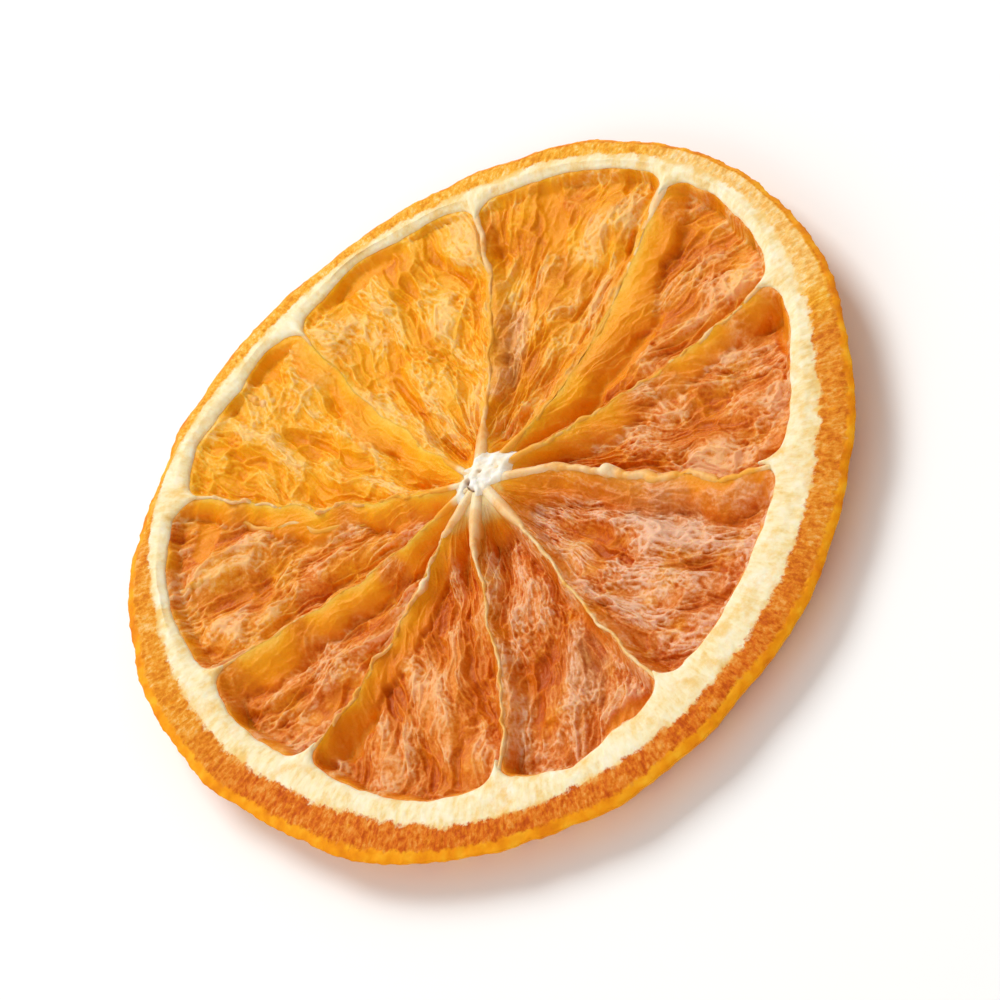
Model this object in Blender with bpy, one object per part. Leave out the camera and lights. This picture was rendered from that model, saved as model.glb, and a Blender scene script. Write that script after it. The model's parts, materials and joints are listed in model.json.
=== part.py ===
"""A dried orange slice: one wheel cut across an orange with its peel on, dried until the pulp has sunk
between the membranes. It lies on its rim, in metres, +Z up, with the origin under the middle of its box."""

import math

import bpy
import numpy as np

MM = 0.001
TURN = 2 * math.pi

# The wheel as a whole
FACE_RADIUS = 31.9 * MM  # the upper cut face, out to the edge of the zest
RIM_THICKNESS = 3.8 * MM
UNDERCUT = 1.9 * MM  # the cut missed the widest part of the fruit, so the skin slants in below
OUTLINE_WAVES = ((1, 0.45 * MM, 251.0), (3, 0.5 * MM, 18.0), (5, 0.16 * MM, 25.0))  # waves, height, towards
RIM_LUMPS = 0.2 * MM  # uneven shrinking of the skin
RIM_LUMP_SIZE = 3.4 * MM
SEED = 11

# The peel, seen on the cut faces
ZEST_WIDTH = 1.75 * MM
ZEST_WIDER = 0.5 * MM  # the zest band is wider by this on one side and narrower on the other
ZEST_WIDE_SIDE = 240.0  # degrees
ZEST_DROP = 0.35 * MM  # its edge is lower than the pith
PITH_CROWN = 0.16 * MM
SHOULDER = 0.6 * MM  # how far the skin bulges out past the cut
SHOULDER_WIDER = 0.3 * MM
SHOULDER_WIDE_SIDE = 200.0  # degrees

# The pockets that hold the pulp. A pocket follows each membrane anticlockwise.
POCKET_REACHES = [reach * MM for reach in (29.5, 28.6, 29.2, 29.3, 27.7, 27.8, 27.9, 26.6, 26.6, 29.5)]
POCKET_CORNER = 2.4 * MM
POCKET_WALL = 0.9 * MM
FLOOR_TOPS = [top * MM for top in (2.0, 2.25, 2.15, 1.75, 1.5, 1.9, 1.75, 1.95, 1.6, 1.8)]
FLOOR_BOTTOM = 0.75 * MM
FLOOR_DOME = 0.45 * MM  # the pulp stands highest in the middle of its pocket
FOLD_DEPTH = 0.4 * MM
FOLD_SPACING = 3.6 * MM
UNDER_FOLD = 0.25 * MM
LEAST_PULP = 0.6 * MM

# The membranes, as angles in degrees at the rim, halfway and at the core, then in millimetres the dip of
# the crest and how far the sheet slopes out on its gentle side
MEMBRANES = (
    (20.0, 16.8, 13.0, 1.15, 1.7),
    (56.5, 54.5, 57.0, 0.80, 1.1),
    (94.5, 98.0, 101.0, 1.10, 1.1),
    (129.5, 133.0, 137.0, 0.80, 1.8),
    (166.0, 166.0, 167.0, 0.85, 2.7),
    (194.2, 194.0, 189.0, 0.85, 2.0),
    (234.5, 233.5, 220.0, 0.70, 1.2),
    (267.2, 264.9, 265.5, 0.60, 1.1),
    (311.3, 311.0, 322.0, 0.65, 2.0),
    (348.0, 347.0, 350.0, 0.75, 2.3),
)
STEEP_SHEET = 0.8 * MM  # how far it slopes out on its steep side
GENTLE_SIDE = 270.0  # degrees
CREST_HALF = 0.3 * MM
PATH_RADII = (5.0 * MM, 15.0 * MM, 27.0 * MM)  # where the three angles are
UNDER_CREST = 0.4 * MM

# The pith at the middle
CORE_RADIUS = 2.3 * MM
CORE_PLACE = (-0.4 * MM, 0.8 * MM)  # it isn't in the middle of the slice
CORE_DRIFT = 9.0 * MM  # within this radius the spokes lean over to it
CORE_SLOPE = 2.6 * MM
CORE_RISE = 0.6 * MM
CORE_UNDER = 0.5 * MM
CORE_LUMP = 0.3 * MM

# The warp that drying left. It lifts two stretches of the rim off the table.
LIFTS = ((142.0, 48.0, 1.1 * MM), (335.0, 40.0, 0.8 * MM))  # towards, half width in degrees, height

# How finely it is cut into faces
FLOOR_STATIONS = (0.0, 0.1, 0.22, 0.35, 0.48, 0.61, 0.74, 0.85, 0.94, 1.0)
TOP_STEPS = (0.0, 0.08, 0.17, 0.27, 0.38, 0.49, 0.6, 0.71, 0.81, 0.9, 0.965, 1.0)
UNDER_STEPS = (0.0, 0.16, 0.34, 0.52, 0.7, 0.86, 0.96, 1.0)
CORE_STEPS = (0.36, 0.7)
LUMP_TABLE = 64


def smooth(share):
    share = np.clip(share, 0.0, 1.0)
    return share * share * (3 - 2 * share)


def lumps(across, along, seed):
    """Smooth values from -1 to 1 over a table of seeded random ones, one cell to each unit."""
    table = np.random.default_rng(seed).uniform(-1, 1, (LUMP_TABLE, LUMP_TABLE))
    column, row = np.floor(across).astype(int), np.floor(along).astype(int)
    u, v = smooth(across - column), smooth(along - row)
    corner = [
        [table[(column + i) % LUMP_TABLE, (row + j) % LUMP_TABLE] for j in (0, 1)] for i in (0, 1)
    ]
    low = corner[0][0] * (1 - v) + corner[0][1] * v
    high = corner[1][0] * (1 - v) + corner[1][1] * v
    return low * (1 - u) + high * u


def towards(angle, degrees):
    """1 where an angle points that way, -1 where it points the other way."""
    return np.cos(angle - math.radians(degrees))


def face_radius(angle):
    """From the middle to the edge of the upper cut face."""
    waves = sum(height * np.cos(count * (angle - math.radians(way))) for count, height, way in OUTLINE_WAVES)
    around = (angle % TURN) * FACE_RADIUS / RIM_LUMP_SIZE
    fade = smooth(around) * smooth(TURN * FACE_RADIUS / RIM_LUMP_SIZE - around)
    return FACE_RADIUS + waves + RIM_LUMPS * fade * lumps(around, 0 * around, SEED)


def zest_radius(angle):
    """Where the pith ends and the zest begins."""
    return face_radius(angle) - ZEST_WIDTH - ZEST_WIDER * towards(angle, ZEST_WIDE_SIDE)


def shoulder(angle):
    """How far the skin stands out past the edge of the cut face."""
    return SHOULDER + SHOULDER_WIDER * towards(angle, SHOULDER_WIDE_SIDE)


def lift(radius, angle):
    """How far the warp raises a place of the slice."""
    raised = 0
    for degrees, half_width, height in LIFTS:
        off = np.degrees(np.abs((angle - math.radians(degrees) + math.pi) % TURN - math.pi))
        raised = raised + height * (1 - smooth(off / half_width))
    return raised * np.clip(radius / FACE_RADIUS, 0, 1.1) ** 2


def membrane_angle(index, radius):
    """A membrane's angle at a radius, on the curve through its three stated angles."""
    turns, index = divmod(index, len(MEMBRANES))
    core, halfway, rim = PATH_RADII
    at_rim, at_half, at_core = (math.radians(a) for a in MEMBRANES[index][:3])
    r = np.clip(radius, core, rim)
    angle = (
        at_core * (r - halfway) * (r - rim) / ((core - halfway) * (core - rim))
        + at_half * (r - core) * (r - rim) / ((halfway - core) * (halfway - rim))
        + at_rim * (r - core) * (r - halfway) / ((rim - core) * (rim - halfway))
    )
    return angle + turns * TURN


def sheet_width(index, side):
    """How far the membrane's sheet slopes out from its crest, anticlockwise for side 1."""
    rim_angle, gentle = MEMBRANES[index % len(MEMBRANES)][0], MEMBRANES[index % len(MEMBRANES)][4] * MM
    faces = towards(math.radians(rim_angle) + side * TURN / 4, GENTLE_SIDE)
    return gentle if faces > 0 else STEEP_SHEET


def pocket_reach(index, share):
    """From the middle to the pith behind a pocket, before its corners are rounded."""
    count = len(POCKET_REACHES)
    here = POCKET_REACHES[index % count]
    before = POCKET_REACHES[(index - 1) % count]
    after = POCKET_REACHES[(index + 1) % count]
    other = np.where(share < 0.5, before, after)
    return here + (other - here) * 0.5 * smooth(np.abs(share - 0.5) * 2)


def crest_height(index, step):
    """The height of a membrane's crest, from the core at step 0 to the rim at step 1."""
    dip = MEMBRANES[index % len(MEMBRANES)][3] * MM
    return RIM_THICKNESS + CORE_RISE * (1 - step) ** 3 - dip * np.sin(math.pi * step) ** 1.4


def folds(index, share, step, seed):
    """The folds of dried pulp, from -1 to 1. They run from the rim to the core."""
    width = share * 15 * MM / FOLD_SPACING
    sway = 0.5 * np.sin(TURN * (0.7 * step + 0.37 * index))
    ridge = np.sin(TURN * (width * 0.5 + sway * step) + 1.9 * index)
    return 0.62 * ridge + 0.6 * lumps(width + 5.3 * index, 3.5 * step, seed)


def floor_top(index, share, step):
    fade = smooth(step * 5) * smooth((1 - step) * 6)
    dome = FLOOR_DOME * math.sin(math.pi * share) * math.sin(math.pi * step)
    level = FLOOR_TOPS[index % len(FLOOR_TOPS)] + dome
    return level + FOLD_DEPTH * fade * folds(index, share, step, SEED + 1)


def floor_bottom(index, share, step):
    under = FLOOR_BOTTOM + UNDER_FOLD * folds(index + 3, 1 - share, step, SEED + 2)
    return np.minimum(under, floor_top(index, share, step) - LEAST_PULP)


def pocket_columns(index, radius):
    """The angles at which a pocket is cut from one membrane to the next, at one radius.

    The list starts on a crest, and the next pocket's list starts where it ends. Each angle comes with
    its share of the way across and with the distance to the nearer crest as a share of the sheet."""
    start, end = membrane_angle(index, radius), membrane_angle(index + 1, radius)
    span = end - start
    edge = min(CREST_HALF / radius, 0.1 * span)
    first = min(sheet_width(index, 1) / radius, 0.34 * span)
    last = min(sheet_width(index + 1, -1) / radius, 0.34 * span)
    offsets, slopes = [0.0, edge], [0.0, 0.08]
    for station in FLOOR_STATIONS:
        offsets.append(first + station * (span - first - last))
        slopes.append(1.0)
    offsets.append(span - edge)
    slopes.append(0.08)
    return [(start + offset, offset / span, slope) for offset, slope in zip(offsets, slopes)]


def pocket_point(index, column, step, upper):
    """One corner of the mesh between the core and the pith, on the upper or the lower face."""
    guess = CORE_RADIUS + step * (pocket_reach(index, 0.5) - CORE_RADIUS)
    angle, share, slope = pocket_columns(index, guess)[column]
    across = membrane_angle(index + 1, guess) - membrane_angle(index, guess)
    to_crest = min(share, 1 - share) * across * pocket_reach(index, 0.5)
    rounding = 1 - np.clip(to_crest / POCKET_CORNER, 0, 1)
    corner = POCKET_CORNER * (1 - math.sqrt(max(0.0, 1 - rounding**2)))
    reach = pocket_reach(index, share) - corner - (0 if upper else UNDERCUT)
    radius = CORE_RADIUS + step * (reach - CORE_RADIUS)
    sunk = (
        smooth(slope)
        * smooth((radius - CORE_RADIUS) / CORE_SLOPE)
        * smooth((reach - radius) / POCKET_WALL)
    )
    if upper:
        top = crest_height(index, step) * (1 - share) + crest_height(index + 1, step) * share
        height = top * (1 - sunk) + floor_top(index, share, step) * sunk
    else:
        crest = UNDER_CREST * math.sin(math.pi * step) ** 0.7 if 0 < step < 1 else 0.0
        crest += CORE_UNDER * (1 - step) ** 2
        height = crest * (1 - sunk) + floor_bottom(index, share, step) * sunk
    return polar(radius, angle, height)


def polar(radius, angle, height):
    """A point of the slice, leaned over to the core and with the warp added to its height."""
    lean = max(0.0, 1 - radius / CORE_DRIFT)
    return (
        radius * math.cos(angle) + CORE_PLACE[0] * lean,
        radius * math.sin(angle) + CORE_PLACE[1] * lean,
        height + float(lift(radius, angle)),
    )


def rim_point(index, column, inwards, height, bulge):
    """One corner on the peel, from its height, its place between the edge of the cut face at 0, the start
    of the pith at 1 and the pockets at 2, and its share of the skin's bulge."""
    angle, share, _ = pocket_columns(index, PATH_RADII[2])[column]
    edge, zest = float(face_radius(angle)), float(zest_radius(angle))
    inner = pocket_reach(index, share) + POCKET_WALL * 0.3
    if inwards <= 1:
        radius = edge + (zest - edge) * inwards
    else:
        radius = zest + (inner - zest) * (inwards - 1)
    down = 1 - height / RIM_THICKNESS
    return polar(radius + bulge * shoulder(angle) - UNDERCUT * smooth(down), angle, height)


def core_point(index, column, step, upper):
    angle, _, _ = pocket_columns(index, PATH_RADII[0])[column]
    bump = CORE_LUMP * lumps(angle * 1.6, np.array(step * 3), SEED + 5)
    height = RIM_THICKNESS + CORE_RISE + bump * step if upper else CORE_UNDER
    return polar(CORE_RADIUS * step, angle, float(height))


def ring(point, *values):
    """One closed ring of corners: every column of every pocket, anticlockwise."""
    columns = range(len(FLOOR_STATIONS) + 3)
    return [point(index, column, *values) for index in range(len(MEMBRANES)) for column in columns]


def slice_rings():
    """The rings from the middle of the upper face, out over the rim and back under to the middle."""
    top = RIM_THICKNESS
    rings = [ring(core_point, step, True) for step in CORE_STEPS]
    rings += [ring(pocket_point, step, True) for step in TOP_STEPS]
    for inwards, height, bulge in (
        (2.0, top, 0.0),
        (1.5, top + PITH_CROWN, 0.0),
        (1.0, top, 0.0),
        (0.4, top - 0.3 * ZEST_DROP, 0.1),
        (0.0, top - ZEST_DROP, 0.4),
        (0.0, top * 0.76, 1.0),
        (0.0, top * 0.56, 1.0),
        (0.0, top * 0.34, 0.75),
        (0.0, top * 0.12, 0.4),
        (0.2, 0.0, 0.1),
        (1.0, 0.0, 0.0),
        (2.0, 0.0, 0.0),
    ):
        rings.append(ring(rim_point, inwards, height, bulge))
    rings += [ring(pocket_point, step, False) for step in reversed(UNDER_STEPS)]
    rings += [ring(core_point, step, False) for step in reversed(CORE_STEPS)]
    return rings


def build_slice():
    rings = np.array(slice_rings())
    around = rings.shape[1]
    corners = np.vstack([
        polar(0.0, 0.0, RIM_THICKNESS + CORE_RISE),
        rings.reshape(-1, 3),
        polar(0.0, 0.0, CORE_UNDER),
    ])
    middle = (corners.min(axis=0) + corners.max(axis=0)) / 2
    corners[:, :2] -= middle[:2]
    faces = []
    for column in range(around):
        following = (column + 1) % around
        faces.append((0, 1 + column, 1 + following))
        for row in range(len(rings) - 1):
            here, below = 1 + row * around, 1 + (row + 1) * around
            faces.append((here + column, below + column, below + following, here + following))
        last = 1 + (len(rings) - 1) * around
        faces.append((last + column, len(corners) - 1, last + following))
    mesh = bpy.data.meshes.new("dried_orange_slice")
    mesh.from_pydata(corners, [], faces)
    mesh.validate()
    mesh.shade_smooth()
    mesh.set_sharp_from_angle(angle=math.radians(50))
    made = bpy.data.objects.new("dried_orange_slice", mesh)
    bpy.context.scene.collection.objects.link(made)
    return made


def dried_fruit_material():
    """Dried orange: amber pulp with a soft sheen, as one finish for the whole slice."""
    material = bpy.data.materials.new("dried_orange")
    material.use_nodes = True
    shader = material.node_tree.nodes["Principled BSDF"]
    shader.inputs["Base Color"].default_value = (0.72, 0.27, 0.035, 1.0)
    shader.inputs["Roughness"].default_value = 0.5
    shader.inputs["Metallic"].default_value = 0.0
    return material


def main():
    for old in list(bpy.data.objects):
        bpy.data.objects.remove(old, do_unlink=True)
    made = build_slice()
    made.data.materials.append(dried_fruit_material())


main()
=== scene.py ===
# The looks of a dried orange slice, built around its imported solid.
import json
import math

import bpy
import numpy as np
from mathutils import Matrix, Vector

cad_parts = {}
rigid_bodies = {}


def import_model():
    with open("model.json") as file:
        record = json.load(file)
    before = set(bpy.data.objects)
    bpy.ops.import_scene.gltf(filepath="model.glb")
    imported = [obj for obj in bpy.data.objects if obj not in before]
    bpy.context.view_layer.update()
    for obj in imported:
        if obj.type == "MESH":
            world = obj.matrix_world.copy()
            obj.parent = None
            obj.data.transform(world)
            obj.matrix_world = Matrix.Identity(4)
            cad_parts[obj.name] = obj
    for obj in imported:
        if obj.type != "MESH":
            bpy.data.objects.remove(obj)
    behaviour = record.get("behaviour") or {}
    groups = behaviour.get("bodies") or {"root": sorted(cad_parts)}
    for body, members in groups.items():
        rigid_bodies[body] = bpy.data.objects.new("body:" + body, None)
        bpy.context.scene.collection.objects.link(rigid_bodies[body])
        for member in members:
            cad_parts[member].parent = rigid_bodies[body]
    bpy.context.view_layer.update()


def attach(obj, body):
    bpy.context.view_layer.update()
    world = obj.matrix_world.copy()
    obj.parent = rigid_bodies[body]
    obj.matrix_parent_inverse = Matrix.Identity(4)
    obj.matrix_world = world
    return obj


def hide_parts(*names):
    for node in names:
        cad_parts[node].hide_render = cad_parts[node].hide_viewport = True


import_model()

mm = 0.001
turn = 2 * math.pi
sliceNode = "dried_orange_slice"

print("laying out the wheel")

# All sizes are in millimetres and all directions in degrees, anticlockwise from +X.
wheel = {
    "faceRadius": 31.9,  # the cut face, out to the edge of the zest
    "rimThickness": 3.8,
    "undercut": 1.9,  # the skin slants in below by this
    "waves": ((1, 0.45, 251.0), (3, 0.5, 18.0), (5, 0.16, 25.0)),  # count, height, towards
    "rimLumps": 0.2,
    "rimLumpSize": 3.4,
    "lifts": ((142.0, 48.0, 1.1), (335.0, 40.0, 0.8)),  # towards, half width, height of the warp
    "coreRadius": 2.3,
    "corePlace": (-0.4, 0.8),
    "coreDrift": 9.0,  # within this radius the spokes lean over to the core
    "coreRise": 0.6,
    "crestSink": 0.12,  # how far the pulp's skin and the membranes end below the web
    "pathRadii": (5.0, 15.0, 27.0),  # where a membrane's three directions are
    # a membrane's bends: height, more of it for a ragged one, length, spread, seed
    "bends": ((0.26, 0.9, 3.6, 7.3, 501), (0.06, 0.5, 1.2, 5.1, 502)),
    "straightWithin": 3.0,
    "bendFade": 4.0,
    "seed": 11,
}

# A membrane's direction at the rim, halfway and at the core, the dip of its crest, how far its sheet slopes
# out on the gentle side and on its back, how bare those two sides are of pulp, how ragged its edge is, how
# far that edge stands out of the pulp, how pale it is at the core, halfway and at the rim, how many times the
# usual thickness its edge has there, how much it thickens into an arm of the core, and where a bit is torn.
membranes = (
    {"way": (20.0, 16.8, 13.0), "dip": 1.15, "slopes": (3.6, 1.4), "bare": (0.95, 0.3), "ragged": 0.10,
     "proud": 0.00, "pale": (0.0, 0.0, 0.8), "thick": (1.6, 1.6, 5.5), "arm": 1.6},
    {"way": (56.5, 54.5, 57.0), "dip": 0.80, "slopes": (1.6, 0.9), "bare": (0.35, 0.2), "ragged": 0.12,
     "proud": 0.12, "pale": (0.6, 0.0, 0.8), "thick": (2.2, 1.4, 2.4), "arm": 2.6},
    {"way": (94.5, 98.0, 101.0), "dip": 0.95, "slopes": (2.8, 1.0), "bare": (0.9, 0.1), "ragged": 0.08,
     "proud": -0.03, "pale": (0.0, 0.0, 0.6), "thick": (1.2, 1.2, 1.5), "arm": 1.0},
    {"way": (129.5, 133.0, 137.0), "dip": 0.80, "slopes": (2.7, 0.9), "bare": (1.0, 0.3), "ragged": 0.34,
     "proud": 0.10, "pale": (0.0, 0.3, 0.8), "arm": 1.0},
    {"way": (166.0, 166.0, 167.0), "dip": 0.85, "slopes": (3.5, 0.9), "bare": (1.0, 0.3), "ragged": 0.16,
     "proud": 0.00, "pale": (0.1, 0.2, 0.4), "arm": 1.5},
    {"way": (194.2, 194.0, 189.0), "dip": 0.85, "slopes": (2.3, 1.0), "bare": (0.8, 0.3), "ragged": 0.30,
     "proud": 0.10, "pale": (0.6, 0.1, 0.3), "arm": 2.6, "tear": 9.6},
    {"way": (234.5, 233.5, 220.0), "dip": 0.70, "slopes": (1.3, 1.1), "bare": (0.3, 0.2), "ragged": 0.16,
     "proud": 0.15, "pale": (0.6, 0.35, 0.6), "arm": 3.2},
    {"way": (267.2, 264.9, 265.5), "dip": 0.60, "slopes": (1.2, 1.2), "bare": (0.3, 0.2), "ragged": 0.12,
     "proud": 0.15, "pale": (0.6, 0.45, 0.6), "arm": 3.0},
    {"way": (311.3, 311.0, 322.0), "dip": 0.65, "slopes": (3.6, 1.1), "bare": (0.6, 0.3), "ragged": 0.30,
     "proud": 0.15, "pale": (0.6, 0.4, 0.1), "thick": (1.5, 4.0, 1.5), "arm": 1.8, "tear": 10.4},
    {"way": (348.0, 347.0, 350.0), "dip": 0.75, "slopes": (2.7, 1.2), "bare": (0.9, 0.4), "ragged": 0.18,
     "proud": 0.05, "pale": (0.0, 0.1, 0.7), "thick": (1.2, 1.5, 1.8), "arm": 1.6},
)

# A pocket follows each membrane anticlockwise. Its pulp has a level, a lean of its streaks, a share of
# pinkish ridges, partly dried dull and partly painted sheen, a share that stayed wet, and a tone from brown
# to golden, partly its own colour and partly painted light that makes the far pockets brighter.
pockets = (
    {"floor": 2.00, "lean": 0.25, "dryAndSheen": 0.35, "wet": 0.60, "toneAndLight": 0.72},
    {"floor": 2.25, "lean": -0.15, "dryAndSheen": 0.20, "wet": 0.40, "toneAndLight": 1.08},
    {"floor": 2.15, "lean": 0.20, "dryAndSheen": 0.20, "wet": 0.40, "toneAndLight": 1.15},
    {"floor": 1.75, "lean": -0.25, "dryAndSheen": 0.45, "wet": 0.35, "toneAndLight": 0.34},
    {"floor": 1.50, "lean": 0.10, "dryAndSheen": 0.50, "wet": 0.40, "toneAndLight": 0.18},
    {"floor": 1.90, "lean": -0.35, "dryAndSheen": 0.45, "wet": 0.60, "toneAndLight": 0.00, "pouch": 5.6},
    {"floor": 1.75, "lean": 0.30, "dryAndSheen": 0.75, "wet": 0.35, "toneAndLight": 0.00, "pouch": 5.4},
    {"floor": 1.95, "lean": -0.20, "dryAndSheen": 1.00, "wet": 0.25, "toneAndLight": 0.02},
    {"floor": 1.60, "lean": 0.15, "dryAndSheen": 0.55, "wet": 0.40, "toneAndLight": 0.08},
    {"floor": 1.80, "lean": 0.20, "dryAndSheen": 0.40, "wet": 0.60, "toneAndLight": 0.30},
)

# Smooth hollows where the pulp let go of the film: the middle, half its length and width, and its direction.
hollows = (
    {"pocket": 5, "place": (-21.6, -6.9), "size": (3.3, 2.1), "way": 196.0, "depth": 0.55},
    {"pocket": 2, "place": (-5.6, 27.4), "size": (3.0, 1.3), "way": 12.0, "depth": 0.45},
    {"pocket": 1, "place": (4.8, 27.3), "size": (4.6, 1.3), "way": -9.0, "depth": 0.40},
    {"pocket": 7, "place": (13.4, -15.5), "size": (5.5, 1.9), "way": 128.0, "depth": 0.45},
    {"pocket": 9, "place": (14.5, 0.6), "size": (6.0, 1.2), "way": 8.0, "depth": 0.30},
    {"pocket": 0, "place": (19.0, 16.5), "size": (4.2, 1.5), "way": 60.0, "depth": 0.35},
    {"pocket": 3, "place": (-19.6, 18.2), "size": (3.0, 1.2), "way": 40.0, "depth": 0.30},
    {"pocket": 6, "place": (-4.6, -25.6), "size": (2.8, 1.3), "way": 172.0, "depth": 0.30},
    {"pocket": 8, "place": (25.0, -9.4), "size": (2.6, 1.2), "way": 70.0, "depth": 0.25},
)

# Where the pulp has gone dull and greyish.
dullPatches = (
    {"pocket": 0, "place": (8.6, 9.8), "size": (5.5, 1.8), "way": 47.0},
    {"pocket": 7, "place": (8.0, -12.5), "size": (6.5, 3.0), "way": 285.0},
    {"pocket": 6, "place": (-4.6, -19.5), "size": (4.5, 2.2), "way": 250.0},
)

# Radii by direction, read round the rim: where the pith begins, where the zest begins, and what the outline
# has beyond its waves.
pithFrom = (
    (4, 29.3), (10, 29.8), (16, 29.7), (24, 29.9), (35, 29.5), (42, 29.2), (50, 28.4), (60, 28.3), (66, 28.4),
    (72, 28.2), (80, 28.9), (88, 28.2), (97, 28.6), (103, 29.1), (108, 28.8), (114, 29.3), (120, 29.9),
    (126, 29.3), (134, 29.7), (145, 29.7), (152, 29.2), (158, 28.6), (170, 27.7), (176, 27.8), (184, 27.4),
    (190, 27.0), (199, 26.7), (206, 27.1), (213, 27.6), (222, 27.8), (229, 27.6), (238, 27.4), (243, 27.9),
    (248, 28.6), (253, 28.1), (256, 27.6), (260, 27.7), (264, 27.4), (272, 27.0), (279, 27.0), (286, 26.6),
    (293, 26.3), (300, 26.2), (306, 26.1), (316, 26.4), (323, 26.7), (331, 27.1), (338, 27.8), (343, 28.0),
    (352, 28.3), (358, 29.0),
)
zestFrom = (
    (0, 30.7), (15, 31.2), (30, 31.0), (45, 30.4), (52, 29.8), (60, 29.5), (75, 29.7), (90, 29.9),
    (105, 30.5), (120, 31.5), (130, 31.6), (140, 31.3), (150, 30.6), (165, 30.2), (180, 29.8), (195, 29.2),
    (210, 29.4), (225, 30.3), (240, 30.6), (255, 30.7), (270, 30.6), (285, 30.2), (300, 29.6), (315, 29.3),
    (330, 29.3), (345, 29.9),
)
outlineBeyond = (
    (0, 0.2), (15, 0.1), (30, 0.3), (45, 0.25), (60, 0.2), (75, 0.1), (90, 0.1), (105, 0.1), (118, 0.3),
    (126, 0.05), (136, 0.1), (139, 0.75), (150, 0.7), (165, 0.45), (180, 0.2), (195, 0.25), (210, 0.35),
    (225, 0.0), (240, -0.15), (255, -0.15), (270, 0.0), (285, 0.15), (300, -0.05), (315, 0.0), (330, 0.25),
    (345, 0.45),
)

peel = {
    "zestDrop": 0.35,
    "pithCrown": 0.16,
    "shoulder": 0.6,  # the skin's bulge, which is wider on one side
    "shoulderWider": 0.3,
    "shoulderWideSide": 200.0,
    "widestAt": 0.76,  # share of the rim's height
    "corner": 2.4,  # the web of pith where a membrane meets it
    "innerRipple": (0.12, 1.3),  # of the pith's inner edge, height and length
    "around": 1480,  # columns of the mesh
    "skew": (0.8, 0.6),  # moves the relief's pattern with the height, so it isn't drawn out down the sides
    # relief, as parts of a height, two lengths and a seed, each with its depth
    "zestGrain": ((1.0, 0.42, 0.42, 21), (0.6, 0.21, 0.21, 22)),  # the cut oil glands
    "zestDepth": 0.10,
    "skinPits": ((0.5, 0.4, 0.4, 24),),
    "skinPore": 1.05,
    "skinDepth": 0.10,
    "pithSponge": ((1.0, 0.55, 0.55, 25), (1.6, 2.6, 2.6, 26)),
    "pithDepth": 0.045,
    "scallop": 0.15,
    "scallopLength": 4.2,
    "scallopRadius": 32.0,
    "nickLength": 1.7,
    "wallTop": 3.45,  # below this the pith's inner wall is stained with juice
    # where the cut zest stayed golden: towards, half width, fade, how much, and from which zone it is brown.
    # More than 1 is creamy.
    "goldSides": ((95.0, 36.0, 14.0, 0.85, 9.0), (158.0, 8.0, 26.0, 0.5, 9.0), (32.0, 26.0, 20.0, 0.85, 1.0),
                  (3.0, 14.0, 24.0, 1.45, 1.0), (325.0, 20.0, 30.0, 0.3, 9.0)),
    "colours": {  # by share of the grain, from its hollows to its tips
        "pith": ((0.30, "#e3b566"), (0.41, "#f2d595"), (0.5, "#f8e6b8"), (0.64, "#fcf2d6")),
        "blotch": "#efc065",
        "brown": ((0.38, "#bc4a00"), (0.46, "#d26204"), (0.53, "#e07c18"), (0.66, "#eea24c")),
        "golden": ((0.38, "#e08c10"), (0.47, "#f0a61c"), (0.56, "#f6c04a"), (0.66, "#fbdf9c")),
        "creamy": ((0.38, "#e9a444"), (0.5, "#f6c672"), (0.62, "#fadfae")),
        "skin": ((0.3, "#e27c04"), (0.5, "#f4990a"), (0.7, "#fcb324")),
        "wall": "#e08a2c",
    },
}


def smooth(share):
    share = np.clip(share, 0.0, 1.0)
    return share * share * (3 - 2 * share)


def lumps(across, along, seed):  # the same seeded swells as the solid's
    table = np.random.default_rng(seed).uniform(-1, 1, (64, 64))
    column, row = np.floor(across).astype(int), np.floor(along).astype(int)
    u, v = smooth(across - column), smooth(along - row)
    low = table[column % 64, row % 64] * (1 - v) + table[column % 64, (row + 1) % 64] * v
    high = table[(column + 1) % 64, row % 64] * (1 - v) + table[(column + 1) % 64, (row + 1) % 64] * v
    return low * (1 - u) + high * u


def ripple(x, y, seed):  # rolling noise from about -1 to 1, one swell to each unit; each use has its own seed
    size = 256
    slopes = np.random.default_rng(seed).uniform(0, turn, (size, size))
    x, y = np.broadcast_arrays(np.asarray(x, float), np.asarray(y, float))
    column, row = np.floor(x).astype(int), np.floor(y).astype(int)
    u, v = x - column, y - row

    def push(i, j):
        slope = slopes[(column + i) % size, (row + j) % size]
        return np.cos(slope) * (u - i) + np.sin(slope) * (v - j)

    a, b = (w * w * w * (w * (w * 6 - 15) + 10) for w in (u, v))
    low = push(0, 0) * (1 - b) + push(0, 1) * b
    high = push(1, 0) * (1 - b) + push(1, 1) * b
    return 1.5 * (low * (1 - a) + high * a)


def swells(x, y, parts, seed=0):  # rolling noise in parts: the height, the two lengths and the seed of each
    return sum(height * ripple(x / length, y / width, seed + own) for height, length, width, own in parts)


def ridges(x, y, seed):  # sharp crests from -1 to 1
    return 1 - 2.6 * np.abs(ripple(x, y, seed))


def roundTheRim(table, angle):  # a value for each direction, from a table of a few
    ways, values = zip(*table)
    return np.interp(np.degrees(angle) % 360, ways, values, period=360)


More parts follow.
